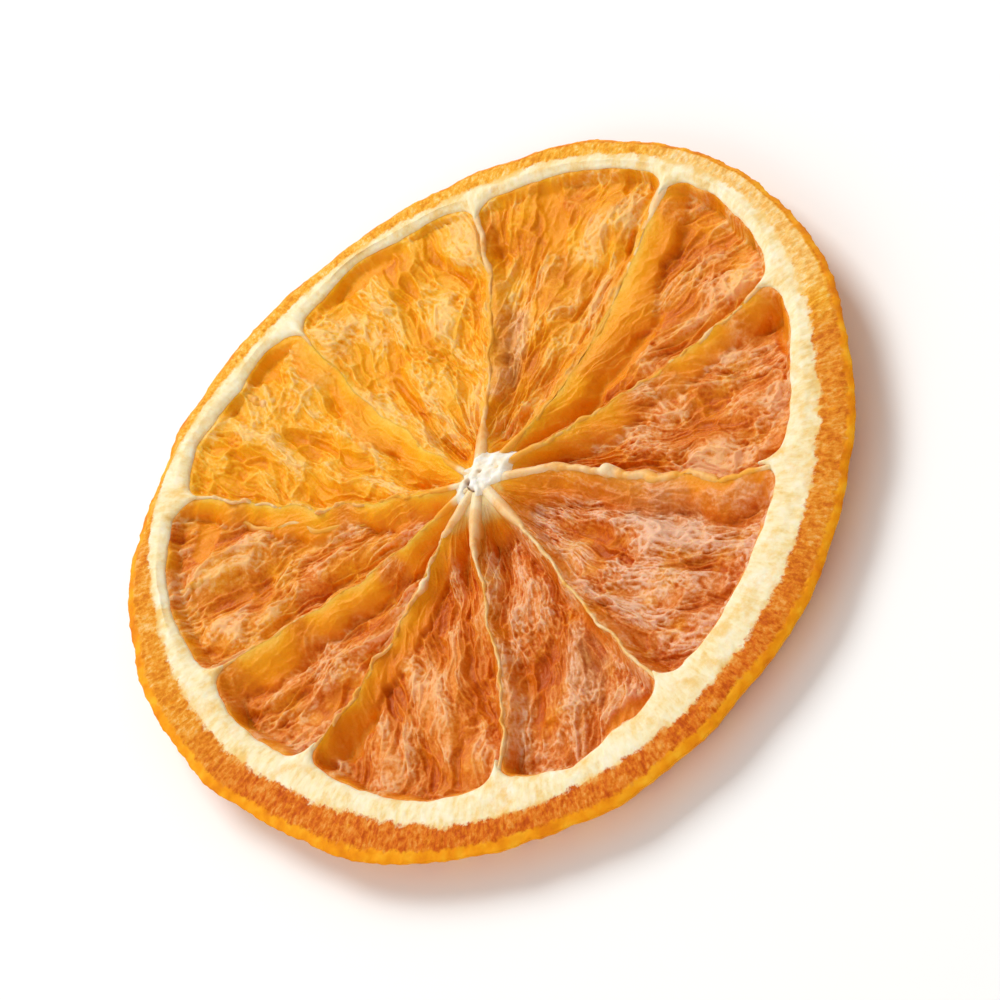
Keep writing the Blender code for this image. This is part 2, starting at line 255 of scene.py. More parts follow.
def cells(x, y, seed):  # how far off the two nearest of scattered points are, and the nearest one's number
    size = 128
    table = np.random.default_rng(seed).uniform(0, 1, (3, size, size))
    x, y = np.broadcast_arrays(np.asarray(x, float), np.asarray(y, float))
    column, row = np.floor(x).astype(int), np.floor(y).astype(int)
    first, second, number = np.full(x.shape, 9.0), np.full(x.shape, 9.0), np.zeros(x.shape)
    for i in (-1, 0, 1):
        for j in (-1, 0, 1):
            own = table[:, (column + i) % size, (row + j) % size]
            away = np.hypot(column + i + own[0] - x, row + j + own[1] - y)
            closer = away < first
            second = np.where(closer, first, np.minimum(second, away))
            number = np.where(closer, own[2], number)
            first = np.where(closer, away, first)
    return first, second, number


def towards(angle, degrees):  # 1 in that direction and -1 in the opposite one
    return np.cos(angle - math.radians(degrees))


def degreesFrom(angle, way):  # how far a direction is from another one, either way round
    return np.degrees(np.abs((angle - math.radians(way) + math.pi) % turn - math.pi))


def faceRadius(angle):
    waves = sum(height * np.cos(count * (angle - math.radians(way))) for count, height, way in wheel["waves"])
    around = (angle % turn) * wheel["faceRadius"] / wheel["rimLumpSize"]
    fade = smooth(around) * smooth(turn * wheel["faceRadius"] / wheel["rimLumpSize"] - around)
    lumped = wheel["rimLumps"] * fade * lumps(around, 0 * around, wheel["seed"])
    return wheel["faceRadius"] + waves + lumped


def lift(radius, angle):  # the warp, which raises two stretches of the rim
    raised = 0
    for way, halfWidth, height in wheel["lifts"]:
        raised = raised + height * (1 - smooth(degreesFrom(angle, way) / halfWidth))
    return raised * np.clip(radius / wheel["faceRadius"], 0, 1.1) ** 2


def membraneAngle(index, radius):
    turns, index = divmod(index, len(membranes))
    core, half, rim = wheel["pathRadii"]
    atRim, atHalf, atCore = (math.radians(way) for way in membranes[index]["way"])
    r = np.clip(radius, core, rim)
    angle = atCore * (r - half) * (r - rim) / ((core - half) * (core - rim))
    angle = angle + atHalf * (r - core) * (r - rim) / ((half - core) * (half - rim))
    angle = angle + atRim * (r - core) * (r - half) / ((rim - core) * (rim - half))
    return angle + turns * turn


def rulesOf(index):  # the membrane after the last one is the first one again
    return membranes[index % len(membranes)]


def crestReach(index):  # where a membrane ends in the pith
    return roundTheRim(pithFrom, membraneAngle(index, wheel["pathRadii"][2]))


def spoke(index, radius):  # a membrane's line with its own small bends
    ragged = rulesOf(index)["ragged"]
    bend = 0
    for height, forRagged, length, apart, seed in wheel["bends"]:
        bend = bend + (height + forRagged * ragged) * ripple(radius / length, index * apart, seed)
    web = crestReach(index) - peel["corner"]
    straight, fade = wheel["straightWithin"], wheel["bendFade"]
    bend = bend * smooth((radius - straight) / fade) * smooth((web - radius) / fade)
    return membraneAngle(index, radius) + bend / np.maximum(radius, straight)


def pithEdge(index, share):  # where the pith begins behind a pocket, with its corners rounded
    rim = wheel["pathRadii"][2]
    start, end = membraneAngle(index, rim), membraneAngle(index + 1, rim)
    angle = start + share * (end - start)
    height, length = peel["innerRipple"]
    reach = roundTheRim(pithFrom, angle) + height * ripple(rim * (angle % turn) / length, 3.3, 503)
    toCrest = np.minimum(share, 1 - share) * (end - start) * reach
    rounding = 1 - np.clip(toCrest / peel["corner"], 0, 1)
    return reach - peel["corner"] * (1 - np.sqrt(1 - rounding**2))


def crestStep(index, radius):  # 0 at the core and 1 at the rim
    return (radius - wheel["coreRadius"]) / (crestReach(index) - wheel["coreRadius"])


def crestHeight(index, step):
    step = np.clip(step, 0, 1)
    dip = rulesOf(index)["dip"] * np.sin(math.pi * step) ** 1.4
    return wheel["rimThickness"] + wheel["coreRise"] * (1 - step) ** 3 - dip


def gentleSide(index, side):  # whether the sheet faces the front on that side, anticlockwise being 1
    return towards(math.radians(rulesOf(index)["way"][0]) + side * turn / 4, 270.0) > 0


def places(radius, angle, height):  # points in metres from the wheel's own measures
    lean = np.clip(1 - radius / wheel["coreDrift"], 0, 1)
    x = radius * np.cos(angle) + wheel["corePlace"][0] * lean
    y = radius * np.sin(angle) + wheel["corePlace"][1] * lean
    z = height + lift(radius, angle)
    return np.stack([(x - wheelMiddle[0]) * mm, (y - wheelMiddle[1]) * mm, z * mm], axis=-1)


def shoulder(angle):  # how far the skin bulges past the cut face
    return peel["shoulder"] + peel["shoulderWider"] * towards(angle, peel["shoulderWideSide"])


aroundTheRim = np.linspace(0, turn, 2000, endpoint=False)
outermost = faceRadius(aroundTheRim) + shoulder(aroundTheRim)
outermost = outermost - wheel["undercut"] * smooth(1 - peel["widestAt"])
outerX, outerY = outermost * np.cos(aroundTheRim), outermost * np.sin(aroundTheRim)
wheelMiddle = ((outerX.max() + outerX.min()) / 2, (outerY.max() + outerY.min()) / 2)


def linear(code):
    parts = [int(code[k : k + 2], 16) / 255 for k in (1, 3, 5)]
    return [p / 12.92 if p <= 0.04045 else ((p + 0.055) / 1.055) ** 2.4 for p in parts] + [1.0]


def setInputs(tree, node, inputs):  # a socket is linked and anything else is set
    for name, value in inputs.items():
        if isinstance(value, bpy.types.NodeSocket):
            tree.links.new(value, node.inputs[name])
        else:
            node.inputs[name].default_value = value


def addNode(tree, kind, inputs=None, **settings):
    node = tree.nodes.new(kind)
    for name, value in settings.items():
        setattr(node, name, value)
    setInputs(tree, node, inputs or {})
    return node


def newMaterial(name):
    material = bpy.data.materials.new(name)
    material.use_nodes = True
    tree = material.node_tree
    return material, tree, tree.nodes["Principled BSDF"]


def calc(tree, operation, *values, clamp=False):
    inputs = dict(enumerate(values))
    return addNode(tree, "ShaderNodeMath", inputs, operation=operation, use_clamp=clamp).outputs[0]


def centred(tree, value, amount):  # noise from 0 to 1, turned into a swing of this amount about 0
    return calc(tree, "MULTIPLY_ADD", value, amount, -amount / 2)


def vectorCalc(tree, operation, *values):
    return addNode(tree, "ShaderNodeVectorMath", dict(enumerate(values)), operation=operation).outputs[0]


def scaled(tree, vector, scale):
    return addNode(tree, "ShaderNodeVectorMath", {0: vector, "Scale": scale}, operation="SCALE").outputs[0]


def stretch(tree, value, low, high, newLow=0.0, newHigh=1.0, **settings):
    inputs = {"Value": value, "From Min": low, "From Max": high, "To Min": newLow, "To Max": newHigh}
    return addNode(tree, "ShaderNodeMapRange", inputs, **settings).outputs[0]


def blend(tree, share, first, second):
    return addNode(tree, "ShaderNodeMix", {0: share, 6: first, 7: second}, data_type="RGBA").outputs[2]


def blendNumbers(tree, share, first, second):
    return addNode(tree, "ShaderNodeMix", {0: share, 2: first, 3: second}).outputs[0]


def attribute(tree, label):
    return addNode(tree, "ShaderNodeAttribute", attribute_name=label).outputs["Fac"]


def noise(tree, place, size, detail, roughness=0.5):  # clouds of a size in millimetres
    inputs = {"Vector": place, "Scale": 1 / (size * mm), "Detail": detail, "Roughness": roughness}
    return addNode(tree, "ShaderNodeTexNoise", inputs).outputs["Fac"]


def bump(tree, height, strength, depth, **below):
    inputs = {"Height": height, "Strength": strength, "Distance": depth * mm, **below}
    return addNode(tree, "ShaderNodeBump", inputs).outputs[0]


def ramp(tree, share, stops):  # a colour for each share, from sRGB hex
    node = addNode(tree, "ShaderNodeValToRGB", {"Fac": share})
    elements = node.color_ramp.elements
    while len(elements) < len(stops):
        elements.new(0.5)
    for element, (position, code) in zip(elements, stops):
        element.position = position
        element.color = linear(code)
    return node.outputs["Color"]


def addObject(name, data):
    thing = bpy.data.objects.new(name, data)
    bpy.context.scene.collection.objects.link(thing)
    return thing


def finishPiece(name, mesh, material):
    mesh.materials.clear()
    mesh.materials.append(material)
    mesh.shade_smooth()
    piece = addObject(name, mesh)
    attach(piece, "root")
    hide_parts(sliceNode)
    return piece


def meshFrom(name, points, faces, values, edges=()):
    mesh = bpy.data.meshes.new(name)
    mesh.from_pydata(points.reshape(-1, 3).tolist(), edges, faces)
    for label, numbers in values.items():
        layer = mesh.attributes.new(label, "FLOAT", "POINT")
        layer.data.foreach_set("value", np.asarray(numbers, np.float32).reshape(-1))
    mesh.update()
    return mesh


def gridFaces(rows, columns, start=0, wrapRows=False, wrapColumns=False):
    row = np.arange(rows if wrapRows else rows - 1)[:, None]
    column = np.arange(columns if wrapColumns else columns - 1)[None, :]
    nextRow, nextColumn = (row + 1) % rows, (column + 1) % columns
    corners = [row * columns + column, nextRow * columns + column,
               nextRow * columns + nextColumn, row * columns + nextColumn]
    return (np.stack([c + 0 * (row + column) for c in corners], axis=-1).reshape(-1, 4) + start).tolist()


print("making the peel")


def peelSection(angle, inner):
    # one closed loop through the ring, from the foot of the pocket's wall over the rim and back below
    top, cut, drop, crown = wheel["rimThickness"], wheel["undercut"], peel["zestDrop"], peel["pithCrown"]
    edge = faceRadius(angle) + roundTheRim(outlineBeyond, angle)
    zest = np.minimum(roundTheRim(zestFrom, angle), edge - 0.4)
    band, bulge = edge - zest, shoulder(angle)
    rows = (  # radius, height, 0 for pith to 1 for zest and 2 for skin, samples up to the next
        (inner - 0.75 * cut, 0.9, 0.0, 3),
        (inner - 0.3, 2.2, 0.0, 4),
        (inner - 0.05, top - 0.5, 0.0, 3),
        (inner + 0.08, top - 0.15, 0.0, 3),
        (inner + 0.45, top + 0.3 * crown, 0.0, 5),
        (0.5 * (inner + zest), top + crown, 0.0, 6),
        (zest - 0.45, top + 0.5 * crown, 0.1, 4),
        (zest, top, 0.5, 4),
        (zest + 0.35 * band, top - 0.2 * drop, 1.0, 4),
        (zest + 0.8 * band, top - 0.6 * drop, 1.0, 4),
        (edge + 0.15 * bulge, top - 1.1 * drop, 1.6, 4),
        (edge + 0.75 * bulge, 0.83 * top, 2.0, 3),
        (edge + bulge - cut * smooth(0.3), 0.7 * top, 2.0, 3),
        (edge + 0.95 * bulge - cut * smooth(0.5), 0.5 * top, 2.0, 3),
        (edge + 0.7 * bulge - cut * smooth(0.72), 0.28 * top, 2.0, 3),
        (edge + 0.35 * bulge - cut * smooth(0.92), 0.08 * top, 2.0, 2),
        (edge - 0.3 - cut, 0.0, 1.4, 2),
        (zest - cut, 0.0, 0.5, 2),
        (inner + 0.3 - cut, 0.0, 0.0, 2),
        (inner - cut, 0.35, 0.0, 2),
    )
    keys = np.stack([np.stack(np.broadcast_arrays(r, z + 0 * r, zone + 0 * r)) for r, z, zone, _ in rows])
    loop = []
    for k, row in enumerate(rows):
        before, here, after, later = (keys[(k + n) % len(rows)] for n in (-1, 0, 1, 2))
        for t in np.arange(row[3]) / row[3]:
            curve = 2 * here + (after - before) * t + (2 * before - 5 * here + 4 * after - later) * t * t
            curve = 0.5 * (curve + (3 * here - before - 3 * after + later) * t**3)
            straight = here + (after - here) * t
            loop.append(0.6 * curve + 0.4 * straight)
    return np.stack(loop)  # sample, (radius, height, zone), angle


def pocketOf(angle):
    rim = wheel["pathRadii"][2]
    starts = np.array([float(membraneAngle(k, rim)) for k in range(len(membranes) + 1)])
    wrapped = (angle - starts[0]) % turn + starts[0]
    index = np.clip(np.searchsorted(starts, wrapped, side="right") - 1, 0, len(membranes) - 1)
    return index, (wrapped - starts[index]) / (starts[index + 1] - starts[index])


def perPocket(function, index, share):  # a pocket's rule over an array of pockets
    found = np.zeros(np.shape(share))
    for k in range(len(pockets)):
        found = np.where(index == k, function(k, share), found)
    return found


def makePeel():
    angle = np.linspace(0, turn, peel["around"], endpoint=False)
    index, share = pocketOf(angle)
    radius, height, zone = np.moveaxis(peelSection(angle, perPocket(pithEdge, index, share)), 1, 0)
    skewX, skewY = peel["skew"]
    over, along = radius * np.cos(angle) + skewX * height, radius * np.sin(angle) + skewY * height
    isZest = smooth((zone - 0.25) / 0.5) * smooth((1.7 - zone) / 0.5)
    isSkin = smooth((zone - 1.3) / 0.5)
    isPith = smooth(1 - zone / 0.6)
    pore = ripple(over / peel["skinPore"], along / peel["skinPore"], 23)
    pore = -np.clip(0.15 - pore, 0, 1) + swells(over, along, peel["skinPits"])
    out = isZest * swells(over, along, peel["zestGrain"]) * peel["zestDepth"]
    out += isSkin * pore * peel["skinDepth"]
    out += isPith * swells(over, along, peel["pithSponge"]) * peel["pithDepth"]
    normalR = np.roll(height, 1, axis=0) - np.roll(height, -1, axis=0)
    normalZ = np.roll(radius, -1, axis=0) - np.roll(radius, 1, axis=0)
    length = np.hypot(normalR, normalZ) + 1e-9
    rim = angle * peel["scallopRadius"]
    scallop = ripple(rim / peel["scallopLength"], 0.4, 27) + 0.4 * ridges(rim / peel["nickLength"], 2.4, 28)
    scallop = peel["scallop"] * scallop * smooth((zone - 0.6) / 0.8)
    seam = smooth(angle / 0.05) * smooth((turn - angle) / 0.05)  # fades to nothing where the ring closes
    radius = radius - out * normalR / length + scallop * seam
    height = np.maximum(height + out * normalZ / length, 0.0)
    points = places(radius, angle[None, :], height)
    faces = [face[::-1] for face in gridFaces(*radius.shape, wrapRows=True, wrapColumns=True)]
    gold = 0 * radius
    for way, full, fade, share, brownFrom in peel["goldSides"]:
        here = share * (1 - smooth((degreesFrom(angle, way) - full) / fade))
        gold = np.maximum(gold, here * (1 - smooth((zone - brownFrom) / 0.3)))
    wall = smooth((peel["wallTop"] - height) / 0.5)  # how much of it is stained
    mesh = meshFrom("peel", points, faces, {"zone": zone, "gold": gold, "wall": wall})
    return finishPiece("peel", mesh, peelMaterial())


def peelMaterial():
    # Citrus peel, sliced and air dried: matt spongy pith, crumbly zest with dark oil glands, waxy skin.
    material, tree, shader = newMaterial("airDriedOrangePeel")
    place = addNode(tree, "ShaderNodeTexCoord").outputs["Object"]
    colours = peel["colours"]
    zone, gold, wall = (attribute(tree, label) for label in ("zone", "gold", "wall"))
    axes = addNode(tree, "ShaderNodeSeparateXYZ", {0: place}).outputs
    outward = addNode(tree, "ShaderNodeVectorMath", {0: place}, operation="LENGTH").outputs["Value"]
    around = calc(tree, "MULTIPLY", calc(tree, "ARCTAN2", axes["Y"], axes["X"]), 30 * mm)
    slow = calc(tree, "MULTIPLY", outward, 0.35)  # draws the fibres out along the radius
    combed = addNode(tree, "ShaderNodeCombineXYZ", {"X": around, "Y": slow, "Z": axes["Z"]}).outputs[0]
    fibre = noise(tree, combed, 0.5, 5.0, 0.6)
    mottle = noise(tree, place, 0.5, 6.0, 0.75)
    blotch = noise(tree, place, 2.1, 5.0, 0.6)
    torn = calc(tree, "ADD", zone, centred(tree, noise(tree, place, 1.1, 6.0, 0.75), 1.5))
    torn = calc(tree, "ADD", torn, centred(tree, fibre, 0.8))
    stained = blendNumbers(tree, 0.45, noise(tree, place, 2.6, 6.0, 0.6), fibre)
    blotched = stretch(tree, calc(tree, "MULTIPLY_ADD", zone, 0.25, blotch), 0.53, 0.72, 0.0, 0.9)
    pith = blend(tree, blotched, ramp(tree, stained, colours["pith"]), linear(colours["blotch"]))
    grain = blendNumbers(tree, 0.5, mottle, noise(tree, combed, 0.3, 3.0, 0.6))
    grain = calc(tree, "ADD", grain, centred(tree, blotch, 0.35))
    brown, golden, creamy = (ramp(tree, grain, colours[name]) for name in ("brown", "golden", "creamy"))
    zest = blend(tree, gold, brown, golden)
    zest = blend(tree, stretch(tree, gold, 0.9, 1.5), zest, creamy)
    skin = ramp(tree, noise(tree, place, 1.6, 4.0), colours["skin"])
    colour = blend(tree, stretch(tree, torn, 0.4, 0.62), pith, zest)
    colour = blend(tree, stretch(tree, torn, 1.12, 1.42), colour, skin)
    lined = calc(tree, "MULTIPLY", wall, stretch(tree, zone, 0.05, 0.25, 1.0, 0.0))
    lined = calc(tree, "MULTIPLY", lined, stretch(tree, axes["Z"], 0.6 * mm, 1.2 * mm))
    mottled = bump(tree, mottle, 0.5, 0.15)
    setInputs(tree, shader, {
        "Base Color": blend(tree, lined, colour, linear(colours["wall"])),
        "Normal": bump(tree, fibre, 0.4, 0.15, Normal=mottled),
        "Roughness": 0.6, "Specular IOR Level": 0.2, "Specular Tint": linear("#ffdca8"),
        "Subsurface Weight": 0.2, "Subsurface Radius": (1.0, 0.55, 0.25), "Subsurface Scale": 0.6 * mm,
    })
    return material


print("making the pulp")

pulp = {
    "acrossSteps": 180,  # faces across and along a pocket, both even
    "alongSteps": 280,
    "start": 1.0,  # millimetres from the middle to the first pulp
    "usualWidth": 15.0,  # of a pocket
    "foldSpacing": 3.6,
    "foldDepth": 0.4,
    "dome": 0.45,
    "tuck": 0.35,  # how far it runs in under the pith
    "rimWall": 1.0,  # how far the pulp takes to climb to the pith
    "rimLip": 0.3,  # how far below the pith's face it ends
    "farRise": 0.95,  # how much higher it lies along the far rim
    "farFrom": 19.0,
    "wallWidth": (0.7, 0.4),  # share of a membrane's slope at its ends, and how much more halfway
    "wallEnd": 29.0,
    "wander": ((0.45, 5.2, 1.7), (0.14, 1.6, 4.1)),  # of a wall's foot: share, length, row of the noise
    "widestWall": 0.66,  # share of the pocket
    "coreWall": 4.8,
    "coreLip": 0.15,
    "bareWithin": 9.0,  # the walls are bare near the core
    "fan": (9.0, 0.6),  # how the strands spread out towards the rim
    # the strands swerve across and along, in parts of a height, a width, a length and a seed
    "sway": ((1.1, 4.2, 6.5, 0), (0.23, 1.7, 1.9, 1)),
    "slip": ((1.3, 4.6, 5.0, 2), (0.23, 1.5, 1.8, 9)),
    "fold": ((1.2, 2.5, 7.0, 3), (0.5, 1.3, 3.0, 10)),
    "foldHeight": 0.42,
    "sac": (1.1, 2.7),  # a collapsed vesicle, across and along
    "sacDepth": 0.14,
    "pucker": (0.56, 1.1),
    "puckerDepth": 0.065,
    "fibre": (0.5, 1.5),
    "fibreHeight": 0.06,
    "fine": (0.38, 1.0),
    "fineHeight": 0.04,
    "finest": (0.21, 0.45),
    "finestHeight": 0.025,
    "wetness": ((0.9, 2.6, 3.4, 8),),
    "unevenFloor": ((0.3, 6.5, 5.5, 580),),
    "filmEdge": ((0.11, 1.7, 0.9, 550), (0.06, 0.6, 0.4, 555)),  # how torn it is
    "patchEdge": ((0.5, 1.6, 1.6, 570),),
    "paleEdge": ((1.1, 1.3, 0.7, 590),),
    "pouch": 2.8,  # how far the pale film reaches from the core
    "pouchFade": 3.0,
    "hollowBare": 0.9,  # how bare of pulp the smooth hollows are
    "pleat": 0.2,  # of the bare walls
    "groove": 0.3,  # at the foot of a bare wall
    "under": 0.75,
    "underFold": 0.25,
    "leastThick": 0.5,
    "marks": ("relief", "wet", "rise", "bare", "pale", "dull"),  # what the surface tells the material
    "colours": {  # from the hollows of its relief to the tips; darker hollows are painted shade, paler, pinker tips painted sheen
        "golden": ((0.15, "#f19200"), (0.4, "#f9a80c"), (0.62, "#fbb83c"), (0.85, "#fdca78")),
        "orange": ((0.15, "#c65000"), (0.38, "#dd6c00"), (0.6, "#ea8a18"), (0.85, "#f4ae5e")),
        "pinkish": ((0.15, "#bc4400"), (0.38, "#d06410"), (0.6, "#df8e52"), (0.85, "#efbc9a")),
        "wetDull": ((0.15, "#be4e00"), (0.5, "#db7000"), (0.85, "#ec9018")),
        "wetWarm": ((0.15, "#ee9000"), (0.5, "#f8a604"), (0.85, "#fcba2c")),
        "grey": ((0.15, "#a8581c"), (0.5, "#c98a58"), (0.85, "#e6b89a")),
    },
    "filmColours": {  # from the foot of a bare wall, darker as painted shade, to its crest, brighter as a painted glow of light through the film
        "amber": ((0.08, "#c84e00"), (0.3, "#df6e00"), (0.6, "#f08a00"), (0.88, "#fba20a"), (1.0, "#feb436")),
        "gold": ((0.08, "#e07400"), (0.3, "#ee8e00"), (0.6, "#f9a204"), (0.88, "#feb41c"), (1.0, "#fec64a")),
        "pouch": ((0.2, "#df9228"), (0.6, "#e6b058"), (1.0, "#eecb92")),
    },
}


def folds(index, share, step, seed):  # the same soft folds as the solid's
    width = share * pulp["usualWidth"] / pulp["foldSpacing"]
    sway = 0.5 * np.sin(turn * (0.7 * step + 0.37 * index))
    ridge = np.sin(turn * (width * 0.5 + sway * step) + 1.9 * index)
    return 0.62 * ridge + 0.6 * lumps(width + 5.3 * index, 3.5 * step, seed)


def climbs(index, radius, start, end, angle, edge):
    # how far up each of its four walls the pulp's skin is, with the height and the bareness of those walls
    found = []
    for side, near in ((1, angle - start), (-1, end - angle)):
        other = index if side == 1 else index + 1
        rules = rulesOf(other)
        face = 0 if gentleSide(other, side) else 1
        atEnds, halfway = pulp["wallWidth"]
        width = atEnds + halfway * np.sin(math.pi * np.clip(radius / pulp["wallEnd"], 0, 1))
        seed = 520 + 2 * (other % len(membranes)) + (side > 0)
        wander = 1
        for height, length, row in pulp["wander"]:
            wander = wander + height * ripple(radius / length, row, seed)
        width = rules["slopes"][face] * width * np.clip(wander, 0.4, 2.0)
        width = np.minimum(width, pulp["widestWall"] * (end - start) * radius)
        away = np.clip(1 - (near * radius - 0.1) / width, 0, 1)
        rise = 0.5 * smooth(away) + 0.5 * away
        crest = crestHeight(other, crestStep(other, radius)) - wheel["crestSink"]
        patchy = smooth(1.0 + 1.3 * ripple(radius / 4.2, 2.2, seed + 40))
        patchy = np.maximum(patchy, smooth((pulp["bareWithin"] - radius) / 3))
        found.append((rise, crest, rules["bare"][face] * patchy))
    rise = smooth(1 - (radius - pulp["start"] - 0.2) / pulp["coreWall"])
    found.append((rise, wheel["rimThickness"] + pulp["coreLip"] + 0 * radius, 0.9 + 0 * radius))
    around = angle * wheel["pathRadii"][2]
    wall = pulp["rimWall"] * (1 + 0.8 * ripple(around / 3.6, index * 3.7, 540))
    rise = smooth(1 - (edge - 0.05 - radius) / wall)
    patchy = smooth(0.35 + 1.5 * ripple(around / 2.4, index * 2.9, 541))
    found.append((rise, wheel["rimThickness"] - pulp["rimLip"] + 0 * radius, 0.6 * patchy))
    return found


def wrinkles(index, share, radius, span, seed):
    rules = pockets[index]
    least, perRadius = pulp["fan"]
    across = (share - 0.5) * span * (least + perRadius * radius) + rules["lean"] * radius + 40 * index
    sway, slip = (swells(across, radius, pulp[name], seed) for name in ("sway", "slip"))
    across, along = across + sway, radius + slip
    fold = swells(across, along, pulp["fold"], seed)
    near, far, number = cells(across / pulp["sac"][0], along / pulp["sac"][1], seed + 4)
    border, inside = np.exp(-(far - near) / 0.16), smooth((far - near) / 0.5)
    own = (number - 0.5) * inside
    near, far, little = cells(across / pulp["pucker"][0], along / pulp["pucker"][1], seed + 5)
    seam = np.exp(-(far - near) / 0.2)
    fibre = ridges(across / pulp["fibre"][0], along / pulp["fibre"][1], seed + 11)
    fine = ridges(across / pulp["fine"][0], along / pulp["fine"][1], seed + 6)
    finest = ripple(across / pulp["finest"][0], along / pulp["finest"][1], seed + 7)
    wet = 0.42 + swells(across, along, pulp["wetness"], seed) + 1.5 * (rules["wet"] - 0.5) + 0.7 * own
    wet = smooth(wet - 0.75 * fold)
    calm = 1 - 0.68 * wet  # where it stayed wet, it dried smooth
    height = pulp["foldHeight"] * fold + pulp["sacDepth"] * (border - 0.9 * inside + 1.2 * own)
    puckered = pulp["puckerDepth"] * (seam + 0.6 * (little - 0.5))
    height = height + calm * (puckered + pulp["fibreHeight"] * fibre)
    height = height + calm * (pulp["fineHeight"] * fine + pulp["finestHeight"] * finest)
    relief = 0.28 * border + calm * (0.28 * seam + 0.24 * fibre + 0.24 * fine + 0.36 * finest) - 0.18
    return height, relief + 0.45 * own + 0.5 * fold, wet


def within(patch, radius, angle):  # 1 in the middle of a patch and under 0 outside it, with a ragged edge
    way = math.radians(patch["way"])
    offX, offY = radius * np.cos(angle) - patch["place"][0], radius * np.sin(angle) - patch["place"][1]
    forth = (offX * math.cos(way) + offY * math.sin(way)) / patch["size"][0]
    aside = (offY * math.cos(way) - offX * math.sin(way)) / patch["size"][1]
    return 1 - forth**2 - aside**2 + swells(offX, offY, pulp["patchEdge"])


def pulpSurface(index, share, radius):
    edge = pithEdge(index, share)
    start, end = spoke(index, radius), spoke(index + 1, radius)
    angle = start + share * (end - start)
    across = share * (end - start) * radius
    step = (radius - wheel["coreRadius"]) / (edge - wheel["coreRadius"])
    still, weight, ceiling, bare = 1.0, 1e-6, 0.0, 0.0
    for rise, height, bareness in climbs(index, radius, start, end, angle, edge):
        still = still * (1 - rise)
        weight = weight + rise
        ceiling = ceiling + rise * height
        bare = bare + rise * bareness
    rise, ceiling, bare = 1 - still, ceiling / weight, bare / weight
    torn = swells(radius, across, pulp["filmEdge"], index)
    smoothness = bare * smooth((rise - 0.1 + torn) / 0.2)
    sunk, let, dull = 0 * radius, 0 * radius, 0 * radius
    for hollow in (one for one in hollows if one["pocket"] == index):
        inside = within(hollow, radius, angle)
        sunk = sunk + hollow["depth"] * smooth(inside / 0.8)
        let = np.maximum(let, smooth(inside / 0.5))
    for patch in (one for one in dullPatches if one["pocket"] == index):
        dull = np.maximum(dull, smooth(within(patch, radius, angle)))
    smoothness = np.maximum(smoothness, let * pulp["hollowBare"])
    fade = smooth(step * 5) * smooth((1 - step) * 6)
    level = pockets[index]["floor"] - sunk + swells(radius, across, pulp["unevenFloor"], index)
    farSide = smooth((radius - pulp["farFrom"]) / 8) * np.clip(0.25 + towards(angle, 95.0), 0, 1)
    level = level + pulp["farRise"] * farSide
    level = level + pulp["dome"] * np.sin(math.pi * share) * np.sin(math.pi * np.clip(step, 0, 1))
    level = level + pulp["foldDepth"] * fade * folds(index, share, step, wheel["seed"] + 1)
    detail, relief, wet = wrinkles(index, share, radius, end - start, 100 + 20 * index)
    settle = smooth((1 - rise) / 0.3)
    pleat = ripple(radius / 2.9, share * 3, 560 + index) + 0.4 * ripple(radius / 0.9, share * 5, 561 + index)
    groove = pulp["groove"] * bare * np.exp(-(((rise - 0.12) / 0.1) ** 2))
    top = level * (1 - rise) + ceiling * rise + detail * (1 - 0.72 * smoothness) * settle
    top = top + pulp["pleat"] * pleat * rise * (1 - rise) - groove
    low = pulp["under"] + pulp["underFold"] * folds(index + 3, 1 - share, step, wheel["seed"] + 2)
    lowDetail, lowRelief, lowWet = wrinkles(index, share, radius, end - start, 110 + 20 * index)
    low = (low - 0.6 * lowDetail * settle) * (1 - rise) + 0.4 * rise
    ragged = radius + swells(radius, across, pulp["paleEdge"], index)
    pale = smooth((pockets[index].get("pouch", pulp["pouch"]) - ragged) / pulp["pouchFade"])
    pale = pale * smooth((rise - 0.4) / 0.5)
    pleated = rise * (0.35 + 0.65 * bare) + 0.05 * pleat * rise
    return {
        "angle": angle,
        "top": top,
        "low": np.minimum(low, top - pulp["leastThick"]),
        "inwards": smooth((radius - edge + 3.0) / 3.0) * wheel["undercut"],
        # what the material reads, on the face and on the underside
        "relief": (relief * (1 - 0.5 * smoothness), lowRelief),
        "wet": (np.maximum(wet, smoothness), np.maximum(lowWet, smoothness)),
        "rise": (np.maximum(pleated, 0.42 * let), 0.5 * rise),
        "bare": (smoothness, 0.8 * smoothness),
        "pale": (pale, pale),
        "dull": (dull, dull),
    }


def makePulp(index, material):
    across, along = pulp["acrossSteps"] + 1, pulp["alongSteps"] + 1
    share = np.linspace(0, 1, across)[None, :]
    radius = np.linspace(0, 1, along)[:, None] * (pithEdge(index, share) + pulp["tuck"] - pulp["start"])
    radius = radius + pulp["start"]
    share = share + 0 * radius
    surface = pulpSurface(index, share, radius)
    upper = places(radius, surface["angle"], surface["top"])
    lower = places(radius - surface["inwards"], surface["angle"], surface["low"])[::2, ::2]
    rows, columns = lower.shape[:2]
    base = across * along
    faces = gridFaces(along, across)
    faces += [face[::-1] for face in gridFaces(rows, columns, start=base)]
    faces += sideStrip(along, across, rows, columns, base)
    values = {label: np.full(base + rows * columns, pockets[index][label]) for label in ("toneAndLight", "dryAndSheen")}
    for label in pulp["marks"]:
        up, down = surface[label]
        values[label] = np.concatenate([up.reshape(-1), down[::2, ::2].reshape(-1)])
    points = np.concatenate([upper.reshape(-1, 3), lower.reshape(-1, 3)])
    name = f"pulp_{index + 1:02d}"
    return finishPiece(name, meshFrom(name, points, faces, values), material)


